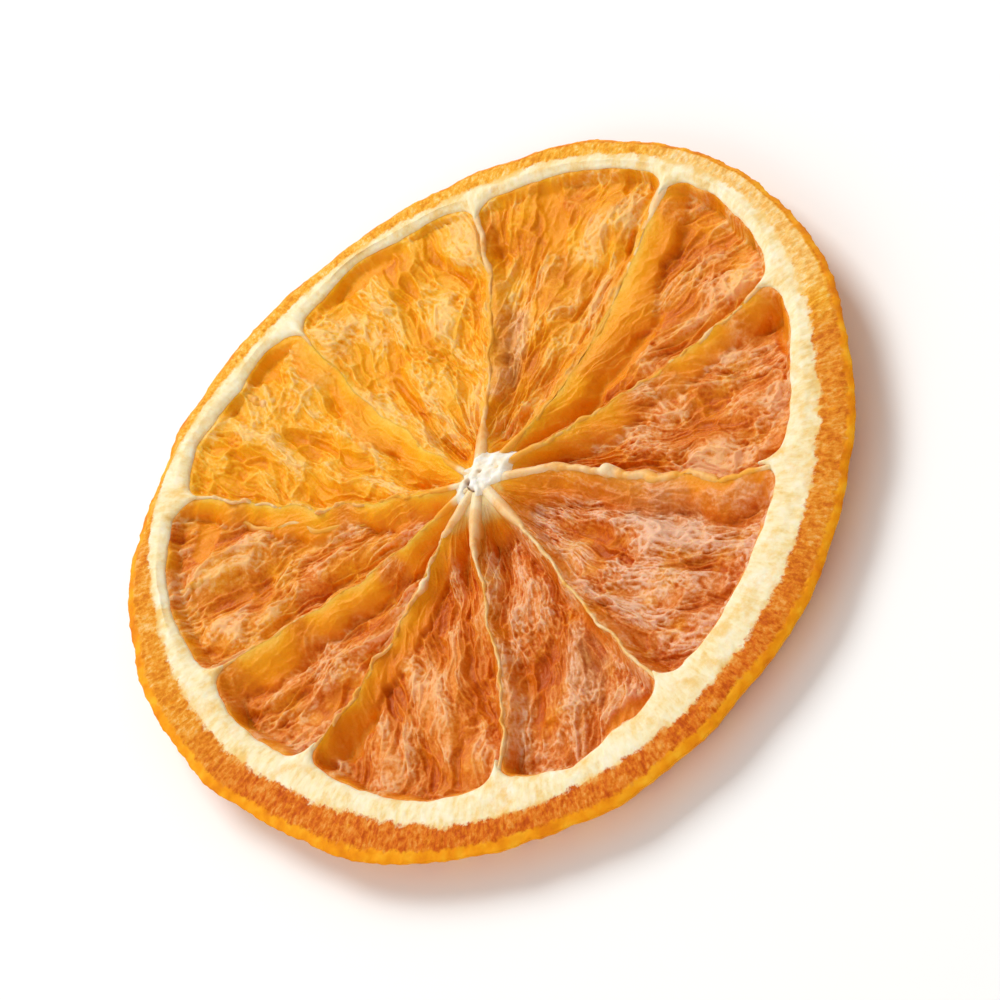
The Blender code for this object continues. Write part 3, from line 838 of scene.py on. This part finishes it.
def sideStrip(along, across, rows, columns, base):
    # closes the edge between the fine upper grid and the lower one, whose steps are twice as long
    fine = [(0, c) for c in range(across - 1)] + [(r, across - 1) for r in range(along - 1)]
    fine += [(along - 1, c) for c in range(across - 1, 0, -1)] + [(r, 0) for r in range(along - 1, 0, -1)]
    upper = [r * across + c for r, c in fine]
    lower = [base + (r // 2) * columns + c // 2 for r, c in fine[::2]]
    faces = []
    for k in range(len(lower)):
        here, following = lower[k], lower[(k + 1) % len(lower)]
        first, middle, last = (upper[(2 * k + n) % len(upper)] for n in range(3))
        faces.append((first, here, middle))
        faces.append((middle, here, following, last))
    return faces


def pulpMaterial():
    # Juice vesicles, dried in warm air: amber and wet in the folds, dull and pinkish on the ridges. Painted
    # shade
    #     # darkens the hollows, painted sheen lightens the ridge tips, and painted light makes the far
    #     pockets golden.
    material, tree, shader = newMaterial("airDriedOrangePulp")
    place = addNode(tree, "ShaderNodeTexCoord").outputs["Object"]
    films = pulp["filmColours"]
    read = {label: attribute(tree, label) for label in pulp["marks"] + ("toneAndLight", "dryAndSheen")}
    speck = noise(tree, place, 0.32, 5.0, 0.65)
    # Ramped by the relief: darker in its hollows as painted shade, paler and pinker on the tips as painted
    # sheen; the specks, partly painted glints, break up the streaks.
    lit = stretch(tree, calc(tree, "ADD", read["relief"], centred(tree, speck, 1.9)), -0.9, 0.9)
    byHeight = {name: ramp(tree, lit, stops) for name, stops in pulp["colours"].items()}
    # The pocket's tone is partly its own colour and partly painted light, turning the far pockets golden as
    # if lit.
    mottled = calc(tree, "MULTIPLY_ADD", noise(tree, place, 3.2, 5.0, 0.6), 2.2, -1.2)
    toneAndLight = calc(tree, "ADD", read["toneAndLight"], mottled, clamp=True)
    # The pinkish ramp is partly the ridges' own colour and partly painted sheen.
    dried = blend(tree, read["dryAndSheen"], byHeight["orange"], byHeight["pinkish"])
    dried = blend(tree, toneAndLight, dried, byHeight["golden"])
    moist = blend(tree, toneAndLight, byHeight["wetDull"], byHeight["wetWarm"])
    soft = blend(tree, calc(tree, "MULTIPLY", read["wet"], 0.8), dried, moist)
    soft = blend(tree, calc(tree, "MULTIPLY", read["dull"], 0.6), soft, byHeight["grey"])
    # The bare film is coloured by height: brighter towards the crest as a painted glow of light through it,
    # darker at the foot as painted shade.
    high = calc(tree, "ADD", read["rise"], centred(tree, noise(tree, place, 1.7, 4.0), 0.5))
    amber, gold = (ramp(tree, high, films[name]) for name in ("amber", "gold"))
    film = blend(tree, stretch(tree, read["toneAndLight"], 0.0, 0.6, 0.35, 1.0), amber, gold)
    film = blend(tree, calc(tree, "MULTIPLY_ADD", read["relief"], 0.35, 0.18, clamp=True), film, soft)
    colour = blend(tree, read["bare"], soft, film)
    pouch = ramp(tree, read["pale"], films["pouch"])
    setInputs(tree, shader, {
        "Base Color": blend(tree, stretch(tree, read["pale"], 0.0, 0.5), colour, pouch),
        "Normal": bump(tree, speck, 0.7, 0.16),
        "Roughness": stretch(tree, read["wet"], 0.0, 1.0, 0.42, 0.28),
        "Specular IOR Level": 0.38, "Specular Tint": linear("#ffca8e"),
        "Subsurface Weight": 0.35, "Subsurface Radius": (1.0, 0.42, 0.1), "Subsurface Scale": 0.8 * mm,
    })
    return material


print("making the membranes")

membrane = {
    "stations": 250,
    "sidesAround": 32,
    "start": 1.1,  # millimetres from the middle
    "into": 0.9,  # how far it runs into the pith
    "footWidth": 0.5,
    "webWidth": 1.0,
    "depth": 1.5,  # how far its foot is below its crest
    "crestSharpness": 1.7,  # gathers the mesh at the crest
    "crestHalf": 0.11,
    "crestRounding": 0.55,  # how far a thick crest's edges drop, as a share of half its thickness
    "leastSlope": 0.35,  # of the sheet beside a thick crest
    "underCrest": 0.36,
    "underFoot": 1.3,
    "curl": 0.3,
    "freeFrom": 3.5,  # from here its edge is free and ragged
    "armReach": 7.5,
    "armFade": 4.5,
    "paleReach": 3.4,
    "tearWidth": 0.7,
    "tearRise": 0.4,
    "tearThick": 1.6,
    "filmRoughness": 0.12,
    "colours": {  # from the foot, darker as painted shade, to the crest, brighter as a painted glow of light through the film
        "film": ((0.2, "#cc6808"), (0.6, "#e08412"), (0.9, "#eb9a22"), (1.0, "#eda63c")),
        "pale": ((0.2, "#e2922a"), (0.6, "#ebae56"), (0.85, "#f1c98c"), (1.0, "#f6dcb2")),
    },
}


def membraneTree():
    # sweeps a ring along each path, then spreads it into a curtain with a crest and two sloping sheets
    tree = bpy.data.node_groups.new("membraneCurtain", "GeometryNodeTree")
    for name, kind in (("Geometry", "Geometry"), ("Sides Around", "Int"), ("Crest Sharpness", "Float"),
                       ("Crest Rounding", "Float"), ("Film Roughness", "Float"), ("Material", "Material")):
        tree.interface.new_socket(name, in_out="INPUT", socket_type="NodeSocket" + kind)
    tree.interface.new_socket("Geometry", in_out="OUTPUT", socket_type="NodeSocketGeometry")

    def change(geometry, kind, inputs, **settings):
        return addNode(tree, "GeometryNode" + kind, {"Geometry": geometry, **inputs}, **settings).outputs[0]

    def keep(geometry, label, value, kind="FLOAT_VECTOR"):
        inputs = {"Name": label, "Value": value}
        return change(geometry, "StoreNamedAttribute", inputs, data_type=kind, domain="POINT")

    def kept(label, kind="FLOAT"):
        return addNode(tree, "GeometryNodeInputNamedAttribute", {"Name": label}, data_type=kind).outputs[0]

    given = addNode(tree, "NodeGroupInput").outputs
    where = addNode(tree, "GeometryNodeInputPosition").outputs[0]
    rail = addNode(tree, "GeometryNodeMeshToCurve", {"Mesh": given["Geometry"]}).outputs["Curve"]
    tangent = addNode(tree, "GeometryNodeInputTangent").outputs[0]
    side = vectorCalc(tree, "NORMALIZE", vectorCalc(tree, "CROSS_PRODUCT", (0.0, 0.0, 1.0), tangent))
    rail = keep(keep(rail, "side", side), "rail", where)
    circle = {"Resolution": given["Sides Around"], "Radius": mm}
    ring = addNode(tree, "GeometryNodeCurvePrimitiveCircle", circle, mode="RADIUS").outputs["Curve"]
    ring = keep(ring, "ring", scaled(tree, where, 1 / mm))
    sweep = {"Curve": rail, "Profile Curve": ring, "Fill Caps": True}
    curtain = addNode(tree, "GeometryNodeCurveToMesh", sweep).outputs[0]
    loop = addNode(tree, "ShaderNodeSeparateXYZ", {0: kept("ring", "FLOAT_VECTOR")}).outputs
    isLeft = calc(tree, "GREATER_THAN", loop["X"], 0.0)
    isUpper = calc(tree, "GREATER_THAN", loop["Y"], -0.0001)
    width, crestHalf = kept("width"), kept("crestHalf")
    offset = calc(tree, "POWER", calc(tree, "ABSOLUTE", loop["X"]), given["Crest Sharpness"])
    offset = calc(tree, "MULTIPLY", offset, width)
    past, room = (calc(tree, "SUBTRACT", reach, crestHalf) for reach in (offset, width))
    slope = calc(tree, "POWER", calc(tree, "DIVIDE", past, room, clamp=True), 0.75)
    fall = stretch(tree, slope, 0.0, 1.0, 1.0, 0.0, interpolation_type="SMOOTHSTEP")
    near = calc(tree, "MINIMUM", offset, crestHalf)
    drop = calc(tree, "MULTIPLY", near, calc(tree, "DIVIDE", near, crestHalf))
    drop = calc(tree, "MULTIPLY", drop, given["Crest Rounding"])
    upper = blendNumbers(tree, fall, kept("foot"), calc(tree, "SUBTRACT", kept("crest"), drop))
    lower = blendNumbers(tree, fall, kept("underFoot"), kept("underCrest"))
    height = blendNumbers(tree, isUpper, lower, upper)
    shift = calc(tree, "MULTIPLY", offset, calc(tree, "MULTIPLY_ADD", isLeft, 2.0, -1.0))
    shift = calc(tree, "ADD", shift, calc(tree, "MULTIPLY", kept("curl"), calc(tree, "POWER", fall, 3.0)))
    across = scaled(tree, kept("side", "FLOAT_VECTOR"), shift)
    up = addNode(tree, "ShaderNodeCombineXYZ", {"Z": height}).outputs[0]
    placed = vectorCalc(tree, "ADD", vectorCalc(tree, "ADD", kept("rail", "FLOAT_VECTOR"), across), up)
    curtain = change(curtain, "SetPosition", {"Position": placed})
    film = calc(tree, "SUBTRACT", noise(tree, where, 1.3, 3.0), 0.5)
    film = calc(tree, "MULTIPLY", film, given["Film Roughness"])
    push = scaled(tree, addNode(tree, "GeometryNodeInputNormal").outputs[0], film)
    curtain = keep(change(curtain, "SetPosition", {"Offset": push}), "rise", fall, "FLOAT")
    curtain = change(curtain, "RealizeInstances", {})
    curtain = change(curtain, "SetMaterial", {"Material": given["Material"]})
    addNode(tree, "NodeGroupOutput", {"Geometry": curtain})
    return tree


def throughTree(base, tree, values):
    # runs a mesh through a tree once and gives back the plain result
    modifier = base.modifiers.new(tree.name, "NODES")
    modifier.node_group = tree
    for item in tree.interface.items_tree:
        if item.in_out == "INPUT" and item.name in values:
            modifier[item.identifier] = values[item.name]
    made = bpy.data.meshes.new_from_object(base.evaluated_get(bpy.context.evaluated_depsgraph_get()))
    base.modifiers.remove(modifier)
    bpy.data.objects.remove(base)
    return made


def warped(radius, angle, values, pale):
    # a rail in metres that lies flat, and what the tree reads along it, raised by the slice's own warp
    warp = lift(radius, angle)
    for label in ("crest", "foot", "underCrest", "underFoot"):
        values[label] = values[label] + warp
    values = {label: numbers * mm for label, numbers in values.items()}
    values["pale"] = np.clip(pale, 0, 1)
    return places(radius, angle, -warp), values


def membranePath(index):
    rules = membranes[index]
    reach = float(crestReach(index))
    radius = np.linspace(membrane["start"], reach + membrane["into"], membrane["stations"])

    def along(length, number):  # noise along the membrane
        return ripple(radius / length, 0.3, 400 + 10 * index + number)

    free = smooth((radius - membrane["freeFrom"]) / 3) * smooth((reach - peel["corner"] - radius) / 1.5 + 0.3)
    web = smooth((radius - reach + peel["corner"] + 0.3) / 2.0)
    torn = along(1.2, 1) + 0.6 * along(0.45, 2)
    tear = np.exp(-(((radius - rules.get("tear", -9.0)) / membrane["tearWidth"]) ** 2))
    step = np.clip(crestStep(index, radius), 0, 1)
    thick = np.interp(step, (0.0, 0.5, 1.0), rules.get("thick", (1.0, 1.0, 1.0)))
    thick = thick * (1 + (0.55 * along(2.6, 5) + 0.25 * along(1.1, 6)) * free)
    arm = rules["arm"] * smooth((membrane["armReach"] - radius) / membrane["armFade"])
    arm = arm + membrane["tearThick"] * tear
    crestHalf = membrane["crestHalf"] * (thick + arm)
    crest = crestHeight(index, crestStep(index, radius)) - wheel["crestSink"]
    crest = crest + (rules["proud"] + rules["ragged"] * torn) * free + wheel["crestSink"] * (1 - free)
    crest = crest + membrane["tearRise"] * tear
    crest = crest - 0.7 * rules["ragged"] * torn * free * smooth((thick - 1) / 3)
    width = membrane["footWidth"] + (membrane["webWidth"] - membrane["footWidth"]) * web
    values = {
        "crest": crest,
        "crestHalf": crestHalf,
        "width": np.maximum(width, crestHalf + membrane["leastSlope"]),
        "foot": crest - membrane["depth"] * (1 - 0.3 * web),
        "underCrest": membrane["underCrest"] + 0 * radius,
        "underFoot": membrane["underFoot"] + 0 * radius,
        "curl": membrane["curl"] * along(1.7, 3) * free * (0.4 + 2 * rules["ragged"]),
    }
    pale = np.interp(step, (0.0, 0.5, 1.0), rules["pale"]) + 0.4 * along(1.9, 4) * free + tear
    pale = np.maximum(np.maximum(pale, web), smooth((membrane["paleReach"] - radius) / 1.2))
    return warped(radius, spoke(index, radius), values, pale)


# Loose folds of film that lie over the pulp. Each end has its radius and its share of the pocket's width.
threads = (
    {"pocket": 2, "from": (28.9, 0.37), "to": (25.3, 0.40),
     "height": 0.25, "width": 1.0, "bow": 0.3, "pale": 0.2},
    {"pocket": 3, "from": (29.2, 0.46), "to": (26.2, 0.42),
     "height": 0.25, "width": 0.9, "bow": 0.3, "pale": 0.4},
    {"pocket": 3, "from": (25.0, 0.10), "to": (12.0, 0.19),
     "height": 0.22, "width": 0.8, "bow": 0.2, "pale": 0.2},
)
thread = {
    "stations": 70,
    "evenOver": 13,  # stations, over which it bridges the wrinkles below it
    "narrowest": 0.35,  # share of its width, at its ends
    "crestHalf": 0.2,  # share of its width
    "sink": 0.1,
    "depth": 0.5,
    "underCrest": 0.8,
    "underFoot": 0.75,
    "curl": 0.3,
}


def threadPath(number):
    rules = threads[number]
    t = np.linspace(0, 1, thread["stations"])
    radius, share = (start + (end - start) * t for start, end in zip(rules["from"], rules["to"]))
    bow = rules["bow"] * np.sin(math.pi * t) + 0.25 * ripple(t * 5, 0.3, 610 + number)
    share = np.clip(share + bow / 16, 0.01, 0.99)
    surface = pulpSurface(rules["pocket"], share, radius)
    body = smooth(t / 0.2) * smooth((1 - t) / 0.3)
    over = thread["evenOver"]
    even = np.convolve(np.pad(surface["top"], over // 2, mode="edge"), np.ones(over) / over, mode="valid")
    crest = even + rules["height"] * body * (1 + 0.6 * ripple(t * 7, 0.6, 620 + number)) - thread["sink"]
    width = rules["width"] * (thread["narrowest"] + (1 - thread["narrowest"]) * body)
    values = {
        "crest": crest,
        "crestHalf": thread["crestHalf"] * width,
        "width": width,
        "foot": crest - thread["depth"] - thread["crestHalf"] * rules["width"],
        "underCrest": crest - thread["underCrest"],
        "underFoot": crest - thread["underFoot"],
        "curl": thread["curl"] * ripple(t * 4, 0.3, 630 + number),
    }
    return warped(radius, surface["angle"], values, rules["pale"] + 0.4 * ripple(t * 5, 0.9, 640 + number))


def makeCurtain(name, points, values, tree, material):
    edges = [(k, k + 1) for k in range(len(points) - 1)]
    base = addObject("membranePath", meshFrom("membranePath", points, [], values, edges))
    made = throughTree(base, tree, {
        "Sides Around": membrane["sidesAround"],
        "Crest Sharpness": membrane["crestSharpness"],
        "Crest Rounding": membrane["crestRounding"],
        "Film Roughness": membrane["filmRoughness"] * mm,
        "Material": material,
    })
    made.name = name
    return finishPiece(name, made, material)


def membraneMaterial():
    # Segment membrane, dried to a thin leathery film: pale at its torn edge, amber down its sides, with a
    # painted
    #     # glow of light through it towards the crest and painted shade at the foot.
    material, tree, shader = newMaterial("airDriedSegmentMembrane")
    place = addNode(tree, "ShaderNodeTexCoord").outputs["Object"]
    colours = membrane["colours"]
    cloud = noise(tree, place, 1.1, 5.0, 0.65)
    cloudy = centred(tree, cloud, 0.7)
    # Coloured by height: brighter towards the crest as a painted glow of light through the film, darker at
    # the foot as painted shade.
    high = calc(tree, "ADD", attribute(tree, "rise"), cloudy)
    film, pale = (ramp(tree, high, colours[name]) for name in ("film", "pale"))
    cast = calc(tree, "MULTIPLY_ADD", attribute(tree, "pale"), 1.1, -0.14)
    cast = calc(tree, "ADD", cast, cloudy, clamp=True)
    setInputs(tree, shader, {
        "Base Color": blend(tree, cast, film, pale),
        "Normal": bump(tree, cloud, 0.3, 0.2),
        "Roughness": 0.45, "Specular IOR Level": 0.3, "Specular Tint": linear("#ffdfb0"),
        "Subsurface Weight": 0.3, "Subsurface Radius": (1.0, 0.5, 0.14), "Subsurface Scale": 0.7 * mm,
    })
    return material


print("making the core")

core = {
    "around": 150,
    "steps": 60,
    "radii": (3.0, 2.0),  # it is oval, along X and along Y
    "top": 4.55,
    "edge": 3.7,
    "under": 0.5,
    "arms": 0.3,  # how far it reaches out along each membrane
    "armWidth": 0.2,  # radians
    "lump": 0.26,
    "bumps": ((1.0, 1.1, 1.1, 61), (0.35, 0.5, 0.5, 62), (0.1, 0.22, 0.22, 63)),
    "holeDepth": 0.8,
    # place, squared width and share of the depth
    "holes": ((-1.2, 0.1, 0.09, 1.0), (-0.7, 0.5, 0.05, 0.9), (-1.0, -0.4, 0.05, 0.8),
              (0.6, 0.45, 0.03, 0.4)),
    "colours": {"pith": ((0.3, "#f2dab2"), (0.5, "#faefdc"), (0.7, "#fffaf2")), "hole": "#8a4a1c"},
}


def makeCore():
    angle = np.linspace(0, turn, core["around"], endpoint=False)[None, :]
    share = np.linspace(0.02, 1, core["steps"])[:, None]
    star = 0 * angle
    for index in range(len(membranes)):
        off = (angle - membraneAngle(index, 4.0) + math.pi) % turn - math.pi
        star = star + np.exp(-(off / core["armWidth"]) ** 2)
    oval = 1 / np.hypot(np.cos(angle) / core["radii"][0], np.sin(angle) / core["radii"][1])
    uneven = 0.25 * towards(angle, 45.0) + 0.14 * ripple(np.cos(angle) * 2, np.sin(angle) * 2, 64)
    radius = share * oval * (0.85 + core["arms"] * star + uneven)
    x, y = radius * np.cos(angle), radius * np.sin(angle)
    bumps = swells(x, y, core["bumps"])
    hole = 0 * x
    for holeX, holeY, width, depth in core["holes"]:
        hole = hole + depth * np.exp(-((x - holeX) ** 2 + (y - holeY) ** 2) / width)
    top = core["top"] + core["lump"] * bumps - (core["top"] - core["edge"]) * share**4
    top = top - core["holeDepth"] * hole
    under = core["under"] + 0.1 * bumps
    rings = np.concatenate([radius, (radius * 0.96)[::-1]])
    spin = np.broadcast_to(angle, rings.shape)
    points = places(rings, spin, np.concatenate([top, under[::-1]])).reshape(-1, 3)
    apexes = np.stack([places(0.0, 0.0, core["top"] - 0.1), places(0.0, 0.0, core["under"])])
    faces = [face[::-1] for face in gridFaces(len(rings), core["around"], wrapColumns=True)]
    count, last = len(points), (len(rings) - 1) * core["around"]
    for k in range(core["around"]):
        following = (k + 1) % core["around"]
        faces.append((count, k, following))
        faces.append((count + 1, last + following, last + k))
    pit = np.concatenate([hole.reshape(-1), 0 * hole.reshape(-1), [0, 0]])
    mesh = meshFrom("core", np.concatenate([points, apexes]), faces, {"pit": pit})
    return finishPiece("core", mesh, coreMaterial())


def coreMaterial():
    # Pith at the heart of the fruit, dried: almost white, matt and lumpy, with dark brown in its holes.
    material, tree, shader = newMaterial("airDriedPith")
    place = addNode(tree, "ShaderNodeTexCoord").outputs["Object"]
    colours = core["colours"]
    cloud = noise(tree, place, 0.9, 5.0)
    pale = ramp(tree, cloud, colours["pith"])
    setInputs(tree, shader, {
        "Base Color": blend(tree, attribute(tree, "pit"), pale, linear(colours["hole"])),
        "Normal": bump(tree, cloud, 0.5, 0.2),
        "Roughness": 0.7,
        "Subsurface Weight": 0.3, "Subsurface Radius": (1.0, 0.8, 0.6), "Subsurface Scale": 0.8 * mm,
    })
    return material


makePeel()
sharedPulp = pulpMaterial()
for pocketIndex in range(len(pockets)):
    makePulp(pocketIndex, sharedPulp)
curtainTree = membraneTree()
sharedMembrane = membraneMaterial()
for membraneIndex in range(len(membranes)):
    path, pathValues = membranePath(membraneIndex)
    makeCurtain(f"membrane_{membraneIndex + 1:02d}", path, pathValues, curtainTree, sharedMembrane)
for threadNumber in range(len(threads)):
    path, pathValues = threadPath(threadNumber)
    makeCurtain(f"thread_{threadNumber + 1:02d}", path, pathValues, curtainTree, sharedMembrane)
makeCore()

print("lighting the table")

view = {
    "elevation": 48.0,  # the photo's view of the slice, in degrees above its cut face
    "roll": 45.0,  # the far side of the slice points to the picture's upper left
    "distance": 0.45,  # metres
    "frameWidth": 0.080,
    "sensorWidth": 36.0,
    "target": (0.0, 0.0005, 0.002),
}
light = {
    "worldStrength": 0.5,
    "world": "#ffffff",
    "key": (0.04, 0.64, 0.62),
    "keySize": 0.45,
    "keyPower": 5.9,
    "fill": (-0.5, -0.35, 0.35),
    "fillSize": 0.6,
    "fillPower": 1.6,
    "floor": "#f6f4f1",
    "floorHalf": 3.0,
}


def makeFloor():
    half = light["floorHalf"]
    corners = np.array([(-half, -half, 0), (half, -half, 0), (half, half, 0), (-half, half, 0)])
    mesh = meshFrom("floor", corners, [(0, 1, 2, 3)], {})
    material, tree, shader = newMaterial("paleTabletop")
    setInputs(tree, shader, {"Base Color": linear(light["floor"]), "Roughness": 0.6})
    mesh.materials.append(material)
    floor = addObject("floor", mesh)


def addArea(name, place, size, power):
    lamp = bpy.data.lights.new(name, "AREA")
    lamp.shape = "SQUARE"
    lamp.size = size
    lamp.energy = power
    holder = addObject(name, lamp)
    holder.location = place
    holder.rotation_mode = "QUATERNION"
    holder.rotation_quaternion = (-Vector(place)).to_track_quat("-Z", "Y")


def makeCamera():
    elevation, roll = math.radians(view["elevation"]), math.radians(view["roll"])
    back = Vector((0, -math.cos(elevation), math.sin(elevation)))
    across, up = Vector((1, 0, 0)), Vector((0, math.sin(elevation), math.cos(elevation)))
    right = math.cos(roll) * across - math.sin(roll) * up
    above = math.sin(roll) * across + math.cos(roll) * up
    turned = Matrix((right, above, back)).transposed()
    data = bpy.data.cameras.new("camera")
    data.sensor_width = view["sensorWidth"]
    data.lens = view["sensorWidth"] * view["distance"] / view["frameWidth"]
    data.clip_start = 0.01
    camera = addObject("camera", data)
    eye = Vector(view["target"]) + back * view["distance"]
    camera.matrix_world = Matrix.Translation(eye) @ turned.to_4x4()
    bpy.context.scene.camera = camera


makeFloor()
makeCamera()
addArea("keyLight", light["key"], light["keySize"], light["keyPower"])
addArea("fillLight", light["fill"], light["fillSize"], light["fillPower"])
world = bpy.data.worlds.new("studio")
world.use_nodes = True
sky = {"Color": linear(light["world"]), "Strength": light["worldStrength"]}
setInputs(world.node_tree, world.node_tree.nodes["Background"], sky)
bpy.context.scene.world = world
bpy.context.scene.view_settings.view_transform = "Standard"

for piece in bpy.data.objects:
    if piece.type == "MESH":
        print(piece.name, len(piece.data.polygons), "faces")
